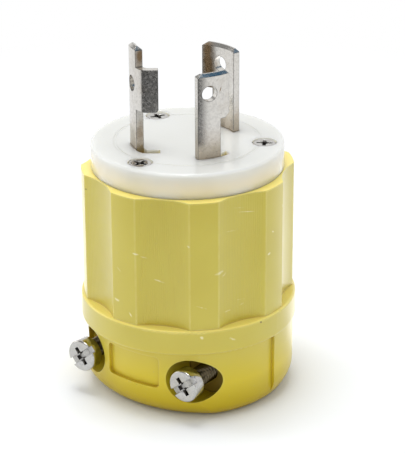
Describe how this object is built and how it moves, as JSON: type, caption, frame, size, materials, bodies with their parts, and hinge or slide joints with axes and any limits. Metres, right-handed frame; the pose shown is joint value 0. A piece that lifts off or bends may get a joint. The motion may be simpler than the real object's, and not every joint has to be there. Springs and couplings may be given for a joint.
{
  "type": "locking power plug",
  "caption": "Cord-end locking power plug: fluted round housing, white face, curved twist-lock blades, and a cord clamp worked by screws in its side.",
  "frame": {"origin": "centre of the flat ring that the plug stands on, at its cord end", "axes": "+Z along the plug's axis from the cord end to the blades; -Y towards the side with the clamp screws; +X completes the frame"},
  "size_m": [0.045, 0.045, 0.0753],
  "materials": {
    "yellow_nylon": "moulded satin nylon",
    "white_nylon": "moulded gloss nylon",
    "inner_nylon": "moulded nylon",
    "jaw_nylon": "moulded satin nylon",
    "plated_blade": "stamped sheet, bright nickel plate",
    "plated_screw": "bright nickel plate",
    "bare_brass": "bright brass",
    "green_screw": "green passivated steel"
  },
  "bodies": {
    "housing": {"shell": "yellow_nylon", "face": "white_nylon", "terminal_block": "inner_nylon", "blade_line_front": "plated_blade", "blade_line_back": "plated_blade", "blade_ground": "plated_blade", "pressure_plate_front": "bare_brass", "pressure_plate_back": "bare_brass", "pressure_plate_ground": "bare_brass", "terminal_screw_front": "bare_brass", "terminal_screw_back": "plated_screw", "terminal_screw_ground": "green_screw", "assembly_screw_front": "plated_screw", "assembly_screw_right": "plated_screw", "assembly_screw_back": "plated_screw", "shell_insert_front": "bare_brass", "shell_insert_right": "bare_brass", "shell_insert_back": "bare_brass", "clamp_jaw_back": "jaw_nylon", "clamp_nut_left": "plated_screw", "clamp_nut_right": "plated_screw"},
    "jaw": {"clamp_jaw_front": "jaw_nylon"},
    "screw_left": {"clamp_screw_left": "plated_screw"},
    "screw_right": {"clamp_screw_right": "plated_screw"}
  },
  "joints": [
    {"name": "screw_left_in", "type": "slide", "parent": "housing", "child": "screw_left", "axis": [0, 1, 0], "range_m": [0, 0.01245]},
    {"name": "screw_right_in", "type": "slide", "parent": "housing", "child": "screw_right", "axis": [0, 1, 0], "range_m": [0, 0.0112]},
    {"name": "jaw_in", "type": "slide", "parent": "housing", "child": "jaw", "axis": [0, 1, 0], "range_m": [0, 0.00475]}
  ],
  "couplings": [
    {"joint": "screw_right_in", "follows": "screw_left_in", "ratio": 0.8996},
    {"joint": "jaw_in", "follows": "screw_left_in", "ratio": 0.3815}
  ]
}
